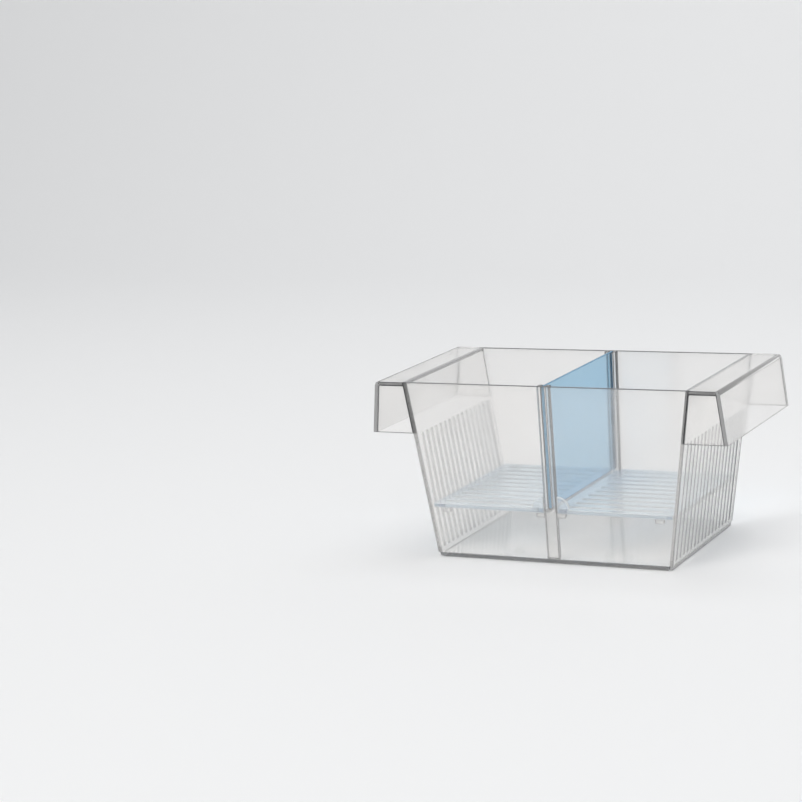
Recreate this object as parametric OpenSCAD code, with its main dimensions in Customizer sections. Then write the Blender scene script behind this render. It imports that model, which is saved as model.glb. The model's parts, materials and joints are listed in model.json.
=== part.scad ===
// Floating breeding box: a clear two-chamber tank with a hollow float along each end,
// a lift-out divider and two lift-out slotted floors that let newborn fish drop below.
// Millimetres. X runs along the length, Y from front to back, Z up from the underside.

/* [Tank] */
// Outside length over the end walls at the rim
tank_top_w = 166; // [150:1:190]
// Outside length over the end walls at the underside
tank_base_w = 137; // [125:1:148]
// Outside depth at the rim
tank_top_d = 106; // [96:1:120]
// Outside depth at the underside
tank_base_d = 100; // [96:1:110]
// Height from the underside to the rim
tank_h = 99; // [90:1:115]
// Thickness of every clear panel
wall_t = 2; // [1.6:0.1:2.4]
// Thickness of the base plate
base_t = 2.4; // [2:0.1:3]
// Step from the front wall's outer face back to the base plate's edge
base_setback = 0.5; // [0:0.1:1]

/* [Floats] */
// Reach of each float's shelf beyond the end wall
float_w = 17; // [12:0.5:24]
// Height of the outer flap
flap_drop = 29; // [22:0.5:36]
// Outward lean of the flap over its height
flap_flare = 3.4; // [1:0.1:5]
// Radius of the bend where shelf and flap meet
float_bend_r = 1.8; // [1:0.1:2]

/* [End wall slots] */
// Number of slots in each end wall
slot_count = 16; // [8:1:16]
// Distance between neighbouring slots
slot_pitch = 5.8; // [5:0.1:5.8]
// Width of a slot
slot_w = 2.2; // [1.4:0.1:2.8]
// Height of the upper ends of the slots
slot_top = 69.5; // [50:0.5:80]
// Height of the lower ends of the slots
slot_bottom = 4.5; // [4:0.5:12]

/* [Divider and its guides] */
// Thickness of the divider
divider_t = 1.5; // [1.2:0.1:1.6]
// Width of the groove that holds the divider's edge
groove_w = 2; // [1.9:0.1:2.2]
// Width over both ribs of a guide
guide_w = 7; // [6:0.2:9]
// How far a guide stands in from the wall
guide_depth = 3.5; // [3:0.1:4.5]

/* [Slotted floors] */
// Height of the floors' underside
floor_z = 28; // [24:0.5:34]
// Thickness of a floor
floor_t = 2.4; // [2:0.1:3]
// Gap between the two floors under the divider
floor_gap = 2.6; // [2.4:0.1:3.6]
// Clearance between a floor and the walls
floor_clear = 0.4; // [0.3:0.05:0.8]
// Number of slits in each floor
slit_count = 10; // [6:1:10]
// Distance between neighbouring slits
slit_pitch = 9.2; // [8:0.1:9.2]
// Width of a slit
slit_w = 3; // [2:0.1:3.4]
// Height of the finger tab that stands on a floor beside the front guide
tab_h = 7; // [5:0.5:9]
// Thickness of the finger tab
tab_t = 1.5; // [1.2:0.1:2]

/* [Floor rests] */
// Length of a rest along the wall
rest_w = 5; // [4:0.5:8]
// How far a rest stands in from the wall
rest_depth = 3; // [2:0.1:3.2]
// Height of a rest
rest_h = 2.5; // [2:0.1:4]

/* [Hidden] */
$fn = 48;
clear_tint = [0.92, 0.95, 0.97, 0.45];
divider_tint = [0.55, 0.78, 0.92, 0.6];
floor_tint = [0.78, 0.88, 0.95, 0.6];
// Longer than the object, for cutting shapes that run right through it
past = 300;
// How far a slot's or a slit's cutter stands out of the panel on each side
cut = 1;
// Slopes of the walls, and the walls' thickness measured level
end_slope = atan((tank_top_w - tank_base_w) / 2 / tank_h);
front_slope = atan((tank_top_d - tank_base_d) / 2 / tank_h);
end_t = wall_t / cos(end_slope);
front_t = wall_t / cos(front_slope);
// The flap, measured the same way
flap_z = tank_h - flap_drop;
flap_t = wall_t / cos(atan(flap_flare / flap_drop));
// Top of the floors, and the space between them and the divider above
floor_top = floor_z + floor_t;
divider_lift = 0.5;
divider_z = floor_top + divider_lift;
groove_foot_z = divider_z + groove_w / 4;
// Free space between the divider's edge and the wall behind the groove
divider_clear = 0.4;
// Space kept around the guides by the floors
notch_clear = 0.4;
// A slit's distance from the divider and from the floor's outer edge
slit_inner_x = 8;
slit_margin = 5;
// Outer pair of rests, measured from the middle of the box
outer_rest_x = 60;

// Half the outside length and half the outside depth at a height
function half_w(z) = (tank_base_w + (tank_top_w - tank_base_w) * z / tank_h) / 2;
function half_d(z) = (tank_base_d + (tank_top_d - tank_base_d) * z / tank_h) / 2;
// Outer face of the flap at a height
function flap_x(z) = tank_top_w / 2 + float_w + flap_flare * (tank_h - z) / flap_drop;

// Turns an outline in X and Z into a bar that runs front to back
module along_y() {
    rotate([90, 0, 0])
        linear_extrude(past, center = true)
            children();
}

// Turns an outline in Y and Z into a bar from one X to another
module along_x(from_x, to_x) {
    translate([from_x, 0, 0])
        rotate([90, 0, 90])
            linear_extrude(to_x - from_x)
                children();
}

// Tank outline seen from the front, drawn in by a margin at both ends
module front_outline(margin, low, high) {
    polygon([[-half_w(low) + margin, low], [half_w(low) - margin, low],
        [half_w(high) - margin, high], [-half_w(high) + margin, high]]);
}

// Tank outline seen from the end, drawn in by a margin at front and back
module end_outline(margin, low, high) {
    polygon([[-half_d(low) + margin, low], [half_d(low) - margin, low],
        [half_d(high) - margin, high], [-half_d(high) + margin, high]]);
}

// Strip that leans with the front wall, seen from the end
module front_strip(start, depth, low, high) {
    polygon([[-half_d(low) + start, low], [-half_d(low) + start + depth, low],
        [-half_d(high) + start + depth, high], [-half_d(high) + start, high]]);
}

// Bar with round ends that lies along X, cut from above
module slit(from_x, to_x, width, height) {
    translate([from_x + width / 2, -width / 2, 0])
        cube([to_x - from_x - width, width, height]);
    for (x = [from_x + width / 2, to_x - width / 2])
        translate([x, 0, 0])
            cylinder(d = width, h = height);
}

module base_plate() {
    color(clear_tint)
        intersection() {
            along_y() front_outline(end_t, 0, base_t);
            along_x(-past, past)
                translate([-half_d(0) + base_setback, 0])
                    square([2 * (half_d(0) - base_setback), base_t]);
        }
}

module front_wall() {
    color(clear_tint)
        intersection() {
            along_x(-past, past) front_strip(0, front_t, base_t, tank_h);
            along_y() front_outline(0, base_t, tank_h);
        }
}

module back_wall() {
    mirror([0, 1, 0]) front_wall();
}

// One slot, laid along the slope of the right end wall
module end_slot() {
    middle_z = (slot_top + slot_bottom) / 2;
    straight = (slot_top - slot_bottom) / cos(end_slope) - slot_w;
    translate([half_w(middle_z) - end_t / 2, 0, middle_z])
        rotate([0, end_slope, 0]) {
            cube([wall_t + 2 * cut, slot_w, straight], center = true);
            for (side = [-1, 1])
                translate([0, 0, side * straight / 2])
                    rotate([0, 90, 0])
                        cylinder(d = slot_w, h = wall_t + 2 * cut, center = true);
        }
}

module right_slotted_wall() {
    color(clear_tint)
        difference() {
            intersection() {
                along_y()
                    polygon([[half_w(0) - end_t, 0], [half_w(0), 0],
                        [half_w(tank_h), tank_h], [half_w(tank_h) - end_t, tank_h]]);
                along_x(0, past) end_outline(front_t, 0, tank_h);
            }
            for (i = [0 : slot_count - 1])
                translate([0, (i - (slot_count - 1) / 2) * slot_pitch, 0])
                    end_slot();
        }
}

module left_slotted_wall() {
    mirror([1, 0, 0]) right_slotted_wall();
}

module right_float_shelf() {
    under = tank_h - wall_t;
    color(clear_tint)
        intersection() {
            along_y()
                polygon([[half_w(under), under], [flap_x(under) - flap_t, under],
                    [flap_x(tank_h) - flap_t, tank_h], [half_w(tank_h), tank_h]]);
            along_x(0, past) end_outline(0, under, tank_h);
        }
}

module left_float_shelf() {
    mirror([1, 0, 0]) right_float_shelf();
}

// The flap's outline seen from the front, with its upper outer corner rounded
module flap_outline() {
    corner_x = flap_x(tank_h);
    difference() {
        polygon([[flap_x(flap_z) - flap_t, flap_z], [flap_x(flap_z), flap_z],
            [corner_x, tank_h], [corner_x - flap_t, tank_h]]);
        difference() {
            translate([corner_x - float_bend_r, tank_h - float_bend_r])
                square(2 * float_bend_r);
            translate([corner_x - float_bend_r, tank_h - float_bend_r])
                circle(r = float_bend_r);
        }
    }
}

module right_float_flap() {
    color(clear_tint)
        intersection() {
            along_y() flap_outline();
            along_x(0, past) end_outline(0, flap_z, tank_h);
        }
}

module left_float_flap() {
    mirror([1, 0, 0]) right_float_flap();
}

// Plate that closes the front end of the right float, in line with the front wall
module right_float_front_end() {
    under = tank_h - wall_t;
    color(clear_tint)
        intersection() {
            along_y()
                polygon([[half_w(flap_z), flap_z], [flap_x(flap_z) - flap_t, flap_z],
                    [flap_x(under) - flap_t, under], [half_w(under), under]]);
            along_x(0, past) front_strip(0, front_t, flap_z, under);
        }
}

module right_float_back_end() {
    mirror([0, 1, 0]) right_float_front_end();
}

module left_float_front_end() {
    mirror([1, 0, 0]) right_float_front_end();
}

module left_float_back_end() {
    mirror([1, 0, 0]) right_float_back_end();
}

// Two ribs with a groove between them, on one solid foot that stops the divider
module front_divider_guide() {
    color(clear_tint)
        difference() {
            along_x(-guide_w / 2, guide_w / 2) front_strip(front_t, guide_depth, base_t, tank_h);
            translate([-groove_w / 2, -past / 2, groove_foot_z])
                cube([groove_w, past, tank_h]);
            translate([0, 0, groove_foot_z])
                rotate([90, 0, 0])
                    cylinder(d = groove_w, h = past, center = true);
        }
}

module back_divider_guide() {
    mirror([0, 1, 0]) front_divider_guide();
}

// Four small blocks under the floors' front edge, two beside the guide and two further out
module front_floor_rests() {
    color(clear_tint)
        for (side = [-1, 1], start = [guide_w / 2, outer_rest_x]) {
            inner = min(side * start, side * (start + rest_w));
            along_x(inner, inner + rest_w)
                front_strip(front_t, rest_depth, floor_z - rest_h, floor_z);
        }
}

module back_floor_rests() {
    mirror([0, 1, 0]) front_floor_rests();
}

// Full-height panel between the guides, flush with the rim
module divider() {
    color(divider_tint)
        along_x(-divider_t / 2, divider_t / 2)
            end_outline(front_t + divider_clear, divider_z, tank_h);
}

// Quarter-round tab beside the front guide, for lifting a floor out
module finger_tab(from_x) {
    translate([from_x, 0, floor_top])
        rotate([90, 0, 0])
            linear_extrude(tab_t)
                intersection() {
                    circle(r = tab_h);
                    square(tab_h);
                }
}

module right_floor_grid() {
    edge_x = half_w(floor_z) - end_t - floor_clear;
    edge_y = half_d(floor_z) - front_t - floor_clear;
    notch_x = guide_w / 2 + notch_clear;
    notch_y = half_d(floor_z) - front_t - guide_depth - notch_clear;
    color(floor_tint) {
        difference() {
            translate([floor_gap / 2, -edge_y, floor_z])
                cube([edge_x - floor_gap / 2, 2 * edge_y, floor_t]);
            for (side = [-1, 1])
                translate([0, side * (notch_y + past / 2), floor_z])
                    cube([2 * notch_x, past, past], center = true);
            for (i = [0 : slit_count - 1])
                translate([0, (i - (slit_count - 1) / 2) * slit_pitch, floor_z - cut])
                    slit(slit_inner_x, edge_x - slit_margin, slit_w, floor_t + 2 * cut);
        }
        translate([0, -edge_y + tab_t, 0])
            finger_tab(notch_x);
    }
}

module left_floor_grid() {
    mirror([1, 0, 0]) right_floor_grid();
}

base_plate();
front_wall();
back_wall();
left_slotted_wall();
right_slotted_wall();
left_float_shelf();
right_float_shelf();
left_float_flap();
right_float_flap();
left_float_front_end();
left_float_back_end();
right_float_front_end();
right_float_back_end();
front_divider_guide();
back_divider_guide();
front_floor_rests();
back_floor_rests();
divider();
left_floor_grid();
right_floor_grid();
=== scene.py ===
"""Clear two-chamber floating breeding box on a pale studio floor.

Every clear panel is rebuilt with its edges rounded, as a moulded or polished edge is, and given its own plastic.
"""

import json
import math

import bmesh
import bpy
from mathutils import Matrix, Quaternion, Vector

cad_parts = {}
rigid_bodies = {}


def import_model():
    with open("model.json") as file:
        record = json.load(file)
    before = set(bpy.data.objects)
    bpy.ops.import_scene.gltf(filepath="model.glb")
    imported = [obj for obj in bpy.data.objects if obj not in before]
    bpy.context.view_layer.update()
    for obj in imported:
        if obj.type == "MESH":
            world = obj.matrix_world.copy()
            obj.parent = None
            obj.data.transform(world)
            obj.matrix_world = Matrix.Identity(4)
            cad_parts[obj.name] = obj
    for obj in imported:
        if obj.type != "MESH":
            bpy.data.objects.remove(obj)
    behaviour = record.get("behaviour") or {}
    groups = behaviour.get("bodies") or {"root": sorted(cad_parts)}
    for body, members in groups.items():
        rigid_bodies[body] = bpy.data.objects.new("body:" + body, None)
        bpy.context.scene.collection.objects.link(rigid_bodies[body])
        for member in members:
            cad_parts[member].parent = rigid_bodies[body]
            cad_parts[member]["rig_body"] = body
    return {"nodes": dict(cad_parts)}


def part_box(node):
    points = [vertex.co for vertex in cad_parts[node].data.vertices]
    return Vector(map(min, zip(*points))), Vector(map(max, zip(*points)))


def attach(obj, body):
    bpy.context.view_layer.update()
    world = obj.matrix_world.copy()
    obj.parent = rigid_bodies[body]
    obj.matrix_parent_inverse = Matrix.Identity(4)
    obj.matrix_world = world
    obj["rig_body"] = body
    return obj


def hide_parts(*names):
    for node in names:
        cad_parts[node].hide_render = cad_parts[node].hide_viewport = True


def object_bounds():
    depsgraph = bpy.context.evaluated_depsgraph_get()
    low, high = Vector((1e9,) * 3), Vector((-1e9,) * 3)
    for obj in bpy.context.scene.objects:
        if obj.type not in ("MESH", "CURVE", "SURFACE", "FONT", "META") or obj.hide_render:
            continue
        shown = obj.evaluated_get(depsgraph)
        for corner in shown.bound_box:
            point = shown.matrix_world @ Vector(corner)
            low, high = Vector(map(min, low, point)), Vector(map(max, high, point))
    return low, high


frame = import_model()
cad_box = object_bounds()

# Camera, in metres and degrees, at the photograph's viewing angle
CAMERA_AT = (0.5021, -1.2009, 0.3449)
CAMERA_AZIMUTH = 27.07
CAMERA_ELEVATION = 11.25
CAMERA_ROLL = 3.73
CAMERA_LENS = 106.9

# Edges: how far a face is drawn in from a bonded neighbour, and how round the edges are
SEAM_GAP = 0.00003
EDGE_ROUND = 0.0003
EDGE_STEPS = 3
SLOT_ROUND = 0.0001
SHARP_ANGLE = math.radians(25)

# Places in each clear piece's list of plastics: its broad faces, slot sides, free sides and dark joints; all but
# the broad faces are tinted grey as painted shade, for the dark look that refraction and inner reflection give a
# clear edge
BROAD, SLOT, FREE, DARK = range(4)
# The divider and the floors have two plastics: broad faces, and all narrow sides
SIDE = 1
# Reach of an end wall's bonded sides, because they lean with the front and back walls
WALL_REACH = 0.004
# How far a rounded rim reaches down from the top of its piece, or up from its lowest point
RIM_REACH = 0.001
# The floors' finger tabs begin this far above the underside
FLOOR_REACH = 0.0026

# The outer upright corners of the two floats are rounder than the other edges
CORNER_ROUND = 0.0017
CORNER_STEPS = 6
# How far those leaning corners lie from the float's widest point and from its ends, and their least length
CORNER_REACH = 0.0045
CORNER_AT_END = 0.0002
SHORTEST_CORNER = 0.001

# How much of a normal lies along an axis where a face looks that way, or partly that way
FACING = 0.9
PARTLY = 0.2
# Share of an edge's length that is height where it counts as upright
UPRIGHT = 0.7

# The plastic's refraction, and its faint unevenness: clouds in the tint, smears in the gloss, moulding waves
STYRENE_IOR = 1.57
CLOUD_SCALE, CLOUD_SHADE = 18, 0.975
SMEAR_SCALE, SMEAR_GAIN = 42, 3
WAVE_SCALE, WAVE_STRENGTH, WAVE_HEIGHT = 26, 0.05, 0.0003

# What one face of a clear wall lets through of a lamp's light
LAMP_SHARE = (0.98, 0.98, 0.98, 1)

# Strength of the surround as a light, and as it is seen straight, mirrored or through the plastic
WORLD_LIGHT = 0.44
WORLD_SEEN = 0.85

# Floor and backdrop
FLOOR_LEVEL = -0.0002
FLOOR_COLOUR = (0.86, 0.865, 0.87, 1)
FLOOR_HALF = 2.2
BACKDROP_AT = 1.6
BACKDROP_HEIGHT = 2.4
BACKDROP_BEND = 0.7
BACKDROP_STEPS = 24

FLOAT_NODES = [n for n in frame["nodes"] if n.endswith(("float_shelf", "float_flap"))]
FLOOR_NODES = ["left_floor_grid", "right_floor_grid"]
LONG_WALLS = ["front_wall", "back_wall"]
CLEAR_NODES = [n for n in frame["nodes"] if n not in FLOOR_NODES + ["divider"]]
BODY_OF = {n: o["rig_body"] for n, o in frame["nodes"].items()}
# The floats' end plates are bonded to the walls above this level, where the walls' sides get the dark painted
# shade of a joint too
JOINT_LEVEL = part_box("left_float_front_end")[0][2]
# Between a divider guide's groove and the outer sides of its two ribs
MID_RIB = 0.0015


def new_material(name):
    """A material with an empty node tree and its output."""
    material = bpy.data.materials.new(name)
    material.use_nodes = True
    material.node_tree.nodes.clear()
    output = material.node_tree.nodes.new("ShaderNodeOutputMaterial")
    return material, material.node_tree, output


def add_noise(tree, place, scale, detail):
    """A noise texture in the piece's own coordinates."""
    noise = tree.nodes.new("ShaderNodeTexNoise")
    noise.inputs["Scale"].default_value = scale
    noise.inputs["Detail"].default_value = detail
    tree.links.new(place.outputs["Object"], noise.inputs["Vector"])
    return noise


def add_range(tree, source, low, high, wanted):
    """Spreads a noise between low and high over the wanted two values."""
    spread = tree.nodes.new("ShaderNodeMapRange")
    spread.inputs["From Min"].default_value = low
    spread.inputs["From Max"].default_value = high
    spread.inputs["To Min"].default_value = wanted[0]
    spread.inputs["To Max"].default_value = wanted[1]
    tree.links.new(source.outputs["Fac"], spread.inputs["Value"])
    return spread


def let_light_in(tree, shader, output):
    """Lamps shine through the plastic, as they do through a thin clear wall."""
    rays = tree.nodes.new("ShaderNodeLightPath")
    through = tree.nodes.new("ShaderNodeBsdfTransparent")
    through.inputs["Color"].default_value = LAMP_SHARE
    mix = tree.nodes.new("ShaderNodeMixShader")
    tree.links.new(rays.outputs["Is Shadow Ray"], mix.inputs["Fac"])
    tree.links.new(shader.outputs["BSDF"], mix.inputs[1])
    tree.links.new(through.outputs["BSDF"], mix.inputs[2])
    tree.links.new(mix.outputs["Shader"], output.inputs["Surface"])


def clear_plastic(name, tint, haze, absorption, density, roughness):
    """Polished see-through plastic with a little haze, faint moulding waves and dry water smears.

    haze is the share of light that the surface scatters instead of letting it straight through.
    """
    material, tree, output = new_material(name)
    shader = tree.nodes.new("ShaderNodeBsdfPrincipled")
    shader.inputs["Transmission Weight"].default_value = 1 - haze
    shader.inputs["IOR"].default_value = STYRENE_IOR

    place = tree.nodes.new("ShaderNodeTexCoord")
    clouds = add_range(tree, add_noise(tree, place, CLOUD_SCALE, 2), 0.3, 0.7, (0, 1))
    colour = tree.nodes.new("ShaderNodeMix")
    colour.data_type = "RGBA"
    colour.inputs["A"].default_value = (*tint, 1)
    colour.inputs["B"].default_value = (*(CLOUD_SHADE * c for c in tint), 1)
    tree.links.new(clouds.outputs["Result"], colour.inputs["Factor"])
    tree.links.new(colour.outputs["Result"], shader.inputs["Base Color"])

    glossy_to_dull = (roughness, roughness * SMEAR_GAIN)
    smears = add_range(tree, add_noise(tree, place, SMEAR_SCALE, 4), 0.35, 0.75, glossy_to_dull)
    tree.links.new(smears.outputs["Result"], shader.inputs["Roughness"])

    bump = tree.nodes.new("ShaderNodeBump")
    bump.inputs["Strength"].default_value = WAVE_STRENGTH
    bump.inputs["Distance"].default_value = WAVE_HEIGHT
    tree.links.new(add_noise(tree, place, WAVE_SCALE, 1).outputs["Fac"], bump.inputs["Height"])
    tree.links.new(bump.outputs["Normal"], shader.inputs["Normal"])
    let_light_in(tree, shader, output)

    inside = tree.nodes.new("ShaderNodeVolumeAbsorption")
    inside.inputs["Color"].default_value = (*absorption, 1)
    inside.inputs["Density"].default_value = density
    tree.links.new(inside.outputs["Volume"], output.inputs["Volume"])
    return material


def outer_corners(work):
    """The edges of a float piece that run up its outer corners."""
    reach = max(abs(v.co.x) for v in work.verts)
    depth = max(abs(v.co.y) for v in work.verts)
    found = []
    for e in work.edges:
        a, b = e.verts[0].co, e.verts[1].co
        length = e.calc_length()
        upright = length > SHORTEST_CORNER and abs(a.z - b.z) > UPRIGHT * length
        outside = min(abs(a.x), abs(b.x)) > reach - CORNER_REACH
        at_end = min(abs(a.y), abs(b.y)) > depth - CORNER_AT_END
        if upright and outside and at_end:
            found.append(e)
    return found


def side_shade(node, face, low, high):
    """Which plastic a piece's narrow side gets: painted shade, darker along a free edge, and darkest at the
    floats' joints.
    """
    y, z = abs(face.normal.y), abs(face.normal.z)
    centre = face.calc_center_median()
    if node not in CLEAR_NODES:
        return BROAD if node in FLOOR_NODES and y > FACING and centre.z > low.z + FLOOR_REACH else SIDE
    lower = centre.z < (low.z + high.z) / 2
    if "slotted_wall" in node:
        at_wall = y > FACING and min(centre.y - low.y, high.y - centre.y) < WALL_REACH
        if at_wall:
            return DARK if centre.z > JOINT_LEVEL else BROAD
        return SLOT
    if node == "base_plate" or node.endswith("shelf"):
        return BROAD
    if node.endswith("_end"):
        return FREE if z > FACING and lower else DARK
    if node.endswith("flap"):
        return SLOT if y > FACING or (z > FACING and lower) else BROAD
    if z > FACING:
        return FREE
    return DARK if centre.z > JOINT_LEVEL else SLOT


def rim_shade(node, face, low, high):
    """Which plastic a rounded edge gets: painted shade, dark along a joint of the floats, lighter along a free
    edge.
    """
    if node not in CLEAR_NODES:
        return SIDE
    centre, normal = face.calc_center_median(), face.normal
    at_end = abs(normal.y) > PARTLY
    if node.endswith("shelf"):
        return (DARK if normal.z < 0 else FREE) if at_end else BROAD
    if node.endswith("flap"):
        inward = normal.x * centre.x < 0
        return (DARK if inward else FREE) if at_end else SLOT
    if node.endswith("_end"):
        return FREE if centre.z < low.z + RIM_REACH else DARK
    if node in LONG_WALLS:
        if abs(normal.x) > PARTLY and centre.z > JOINT_LEVEL:
            return DARK
        return FREE if centre.z > high.z - RIM_REACH else BROAD
    return DARK if "guide" in node else SLOT


def in_slot(node, edge, low, high):
    """True for an edge of a slot or slit, which lies well inside its panel's outline."""
    if "slotted_wall" not in node and node not in FLOOR_NODES:
        return False
    middle = (edge.verts[0].co + edge.verts[1].co) / 2
    inside = WALL_REACH < middle.y - low.y and WALL_REACH < high.y - middle.y
    if node in FLOOR_NODES:
        return inside and low.x + WALL_REACH < middle.x < high.x - WALL_REACH
    return inside and low.z + WALL_REACH < middle.z < high.z - WALL_REACH


def paint_sides(work, node, low, high):
    """Gives a panel's two broad faces the first plastic, and its narrow sides the one that side_shade says."""
    areas = {}
    for f in work.faces:
        way = tuple(round(abs(c), 1) for c in f.normal)
        areas[way] = areas.get(way, 0) + f.calc_area()
    broad = max(areas, key=areas.get)
    for f in work.faces:
        flat = tuple(round(abs(c), 1) for c in f.normal) == broad
        f.material_index = BROAD if flat else side_shade(node, f, low, high)


def paint_ribs(work):
    """Makes the outer sides of a guide's two ribs darker, as painted shade."""
    for f in work.faces:
        if abs(f.normal.x) > FACING and abs(f.calc_center_median().x) > MID_RIB:
            f.material_index = FREE


def rounded_copy(node, suffix, materials):
    """A new piece that follows a CAD node, a hair inside it, with rounded edges."""
    work = bmesh.new()
    work.from_mesh(frame["nodes"][node].data)
    bmesh.ops.remove_doubles(work, verts=work.verts, dist=1e-6)
    bmesh.ops.dissolve_limit(work, angle_limit=math.radians(0.5), verts=work.verts, edges=work.edges)
    low, high = (Vector(corner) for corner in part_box(node))
    # Walls are split at the joint level, so that their sides above it can take the dark painted shade
    if node.endswith("wall"):
        everything = work.verts[:] + work.edges[:] + work.faces[:]
        bmesh.ops.bisect_plane(work, geom=everything, plane_co=(0, 0, JOINT_LEVEL), plane_no=(0, 0, 1))
    if node.endswith("guide"):
        paint_ribs(work)
    elif not node.endswith("rests"):
        paint_sides(work, node, low, high)
    if node in FLOAT_NODES:
        bmesh.ops.bevel(
            work, geom=outer_corners(work), offset=CORNER_ROUND, segments=CORNER_STEPS, profile=0.5, affect="EDGES"
        )
    sharp = [e for e in work.edges if len(e.link_faces) == 2 and e.calc_face_angle(0) > SHARP_ANGLE]
    inner = [e for e in sharp if in_slot(node, e, low, high)]
    outer = [e for e in sharp if e not in inner]
    rims = bmesh.ops.bevel(
        work, geom=outer, offset=EDGE_ROUND, segments=EDGE_STEPS, profile=0.5, affect="EDGES", clamp_overlap=True,
    )
    work.normal_update()
    for f in rims["faces"]:
        f.material_index = rim_shade(node, f, low, high)
    if inner:
        bmesh.ops.bevel(
            work, geom=inner, offset=SLOT_ROUND, segments=1, profile=0.5, affect="EDGES", clamp_overlap=True,
            material=BROAD,
        )
    work.normal_update()
    moves = [(v, v.normal * (SEAM_GAP * v.calc_shell_factor())) for v in work.verts]
    for v, move in moves:
        v.co -= move
    work.normal_update()
    bmesh.ops.triangulate(work, faces=[f for f in work.faces if len(f.verts) > 4])
    mesh = bpy.data.meshes.new(node + suffix)
    work.to_mesh(mesh)
    work.free()
    for material in materials:
        mesh.materials.append(material)
    piece = bpy.data.objects.new(node + suffix, mesh)
    bpy.context.scene.collection.objects.link(piece)
    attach(piece, BODY_OF[node])
    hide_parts(node)
    return piece


def make_floor():
    """A pale floor that curves up into a backdrop."""
    profile = [(-FLOOR_HALF, FLOOR_LEVEL), (BACKDROP_AT - BACKDROP_BEND, FLOOR_LEVEL)]
    for i in range(1, BACKDROP_STEPS + 1):
        turn = math.pi / 2 * i / BACKDROP_STEPS
        profile.append((
            BACKDROP_AT - BACKDROP_BEND + BACKDROP_BEND * math.sin(turn),
            FLOOR_LEVEL + BACKDROP_BEND * (1 - math.cos(turn)),
        ))
    profile.append((BACKDROP_AT, BACKDROP_HEIGHT))
    mesh = bpy.data.meshes.new("studio_floor")
    verts = [(x, y, z) for y, z in profile for x in (-FLOOR_HALF, FLOOR_HALF)]
    faces = [(2 * i, 2 * i + 1, 2 * i + 3, 2 * i + 2) for i in range(len(profile) - 1)]
    mesh.from_pydata(verts, [], faces)
    for polygon in mesh.polygons:
        polygon.use_smooth = True
    material, tree, output = new_material("studio_floor")
    shader = tree.nodes.new("ShaderNodeBsdfPrincipled")
    shader.inputs["Base Color"].default_value = FLOOR_COLOUR
    shader.inputs["Roughness"].default_value = 0.8
    tree.links.new(shader.outputs["BSDF"], output.inputs["Surface"])
    mesh.materials.append(material)
    floor = bpy.data.objects.new("studio_floor", mesh)
    bpy.context.scene.collection.objects.link(floor)


def make_world():
    """A soft white surround that looks a little lighter in the plastic than it lights."""
    world = bpy.data.worlds.new("studio")
    bpy.context.scene.world = world
    world.use_nodes = True
    tree = world.node_tree
    tree.nodes.clear()
    output = tree.nodes.new("ShaderNodeOutputWorld")
    lighting = tree.nodes.new("ShaderNodeBackground")
    lighting.inputs["Color"].default_value = (0.97, 0.98, 1, 1)
    lighting.inputs["Strength"].default_value = WORLD_LIGHT
    seen = tree.nodes.new("ShaderNodeBackground")
    seen.inputs["Color"].default_value = (0.97, 0.97, 0.975, 1)
    seen.inputs["Strength"].default_value = WORLD_SEEN
    rays = tree.nodes.new("ShaderNodeLightPath")
    total = rays.outputs["Is Camera Ray"]
    for kind in ("Is Glossy Ray", "Is Transmission Ray"):
        add = tree.nodes.new("ShaderNodeMath")
        add.operation = "MAXIMUM"
        tree.links.new(total, add.inputs[0])
        tree.links.new(rays.outputs[kind], add.inputs[1])
        total = add.outputs["Value"]
    mix = tree.nodes.new("ShaderNodeMixShader")
    tree.links.new(total, mix.inputs["Fac"])
    tree.links.new(lighting.outputs["Background"], mix.inputs[1])
    tree.links.new(seen.outputs["Background"], mix.inputs[2])
    tree.links.new(mix.outputs["Shader"], output.inputs["Surface"])


def add_area(name, place, size, power, colour=(1, 1, 1), at=None):
    """A soft square lamp that points at the middle of the box, or at the point given."""
    lamp = bpy.data.lights.new(name, "AREA")
    lamp.shape = "RECTANGLE"
    lamp.size, lamp.size_y = size
    lamp.energy = power
    lamp.color = colour
    holder = bpy.data.objects.new(name, lamp)
    holder.location = place
    holder.rotation_mode = "QUATERNION"
    middle = Vector(at) if at else (Vector(cad_box[0]) + Vector(cad_box[1])) / 2
    holder.rotation_quaternion = (middle - Vector(place)).to_track_quat("-Z", "Y")
    bpy.context.scene.collection.objects.link(holder)


def make_lamps():
    add_area("key_lamp", (-0.8, -1.8, 1.7), (1.6, 1.6), 27, (1, 0.985, 0.96))
    add_area("fill_lamp", (1.5, -0.5, 1.5), (1.4, 1.4), 10)
    add_area("top_lamp", (0.0, 0.4, 1.5), (1.2, 0.8), 3)
    add_area("backdrop_lamp", (0.0, 0.7, 2.0), (2.4, 0.4), 4, at=(0, BACKDROP_AT, 0.3))


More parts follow.
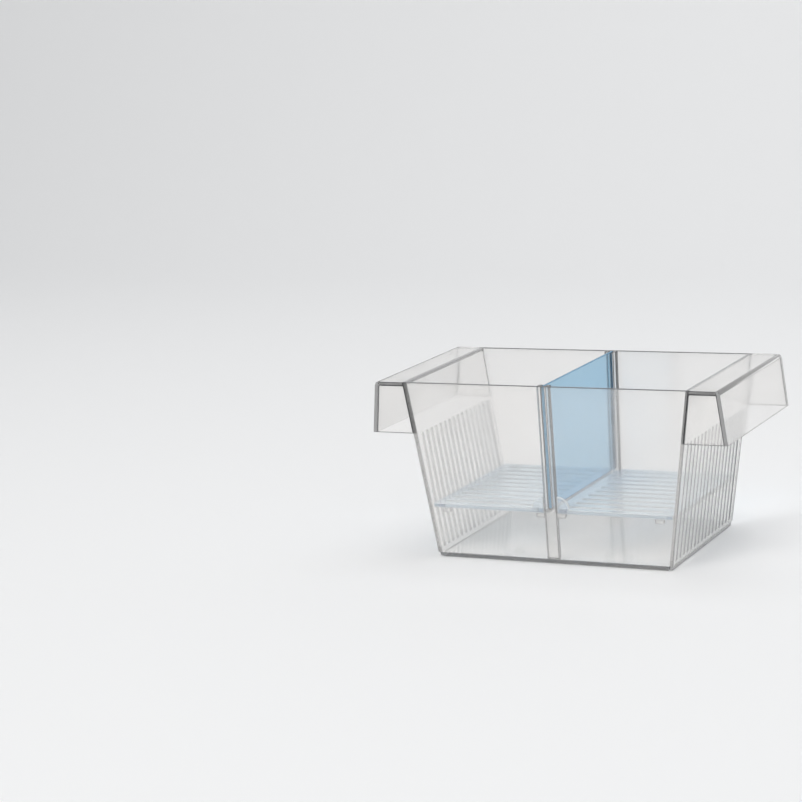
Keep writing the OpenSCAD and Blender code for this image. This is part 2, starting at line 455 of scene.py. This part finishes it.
def make_camera():
    azimuth, elevation = math.radians(CAMERA_AZIMUTH), math.radians(CAMERA_ELEVATION)
    ahead = Vector((
        -math.sin(azimuth) * math.cos(elevation),
        math.cos(azimuth) * math.cos(elevation),
        -math.sin(elevation),
    ))
    data = bpy.data.cameras.new("camera")
    data.sensor_width = 36
    data.lens = CAMERA_LENS
    data.clip_start, data.clip_end = 0.01, 100
    camera = bpy.data.objects.new("camera", data)
    camera.location = CAMERA_AT
    camera.rotation_mode = "QUATERNION"
    roll = Quaternion((0, 0, 1), -math.radians(CAMERA_ROLL))
    camera.rotation_quaternion = ahead.to_track_quat("-Z", "Y") @ roll
    bpy.context.scene.collection.objects.link(camera)
    bpy.context.scene.camera = camera


make_camera()
make_world()
make_lamps()
make_floor()

# What stays of the light deep inside each plastic
WATER_CLEAR = (0.5, 0.55, 0.6)
SKY = (0.2, 0.65, 0.88)
PALE_SKY = (0.3, 0.6, 0.8)
# In the order of BROAD, SLOT, FREE and DARK; the last three are grey tints of painted shade, for the dark look of
# a clear edge
clear = [
    clear_plastic("clear_styrene", (0.995, 0.985, 0.975), 0.09, WATER_CLEAR, 12, 0.035),
    clear_plastic("clear_styrene_slot", (0.90, 0.90, 0.90), 0.35, WATER_CLEAR, 12, 0.08),
    clear_plastic("clear_styrene_edge", (0.58, 0.58, 0.59), 0.06, WATER_CLEAR, 12, 0.02),
    clear_plastic("clear_styrene_joint", (0.14, 0.145, 0.16), 0.03, WATER_CLEAR, 12, 0.02),
]
blue = [
    clear_plastic("divider_plastic", (0.70, 0.87, 0.955), 0.10, SKY, 400, 0.02),
    # The divider's own blue, deepened on its narrow sides as painted shade
    clear_plastic("divider_edge", (0.12, 0.42, 0.68), 0.6, SKY, 300, 0.02),
]
faint = [
    clear_plastic("floor_plastic", (0.90, 0.945, 0.975), 0.20, PALE_SKY, 70, 0.03),
    clear_plastic("floor_edge", (0.93, 0.945, 0.955), 0.6, PALE_SKY, 40, 0.05),
]
for node in CLEAR_NODES:
    rounded_copy(node, "_panel", clear)
rounded_copy("divider", "_panel", blue)
for node in FLOOR_NODES:
    rounded_copy(node, "_plate", faint)

bpy.context.scene.view_settings.view_transform = "Standard"
bpy.context.view_layer.update()
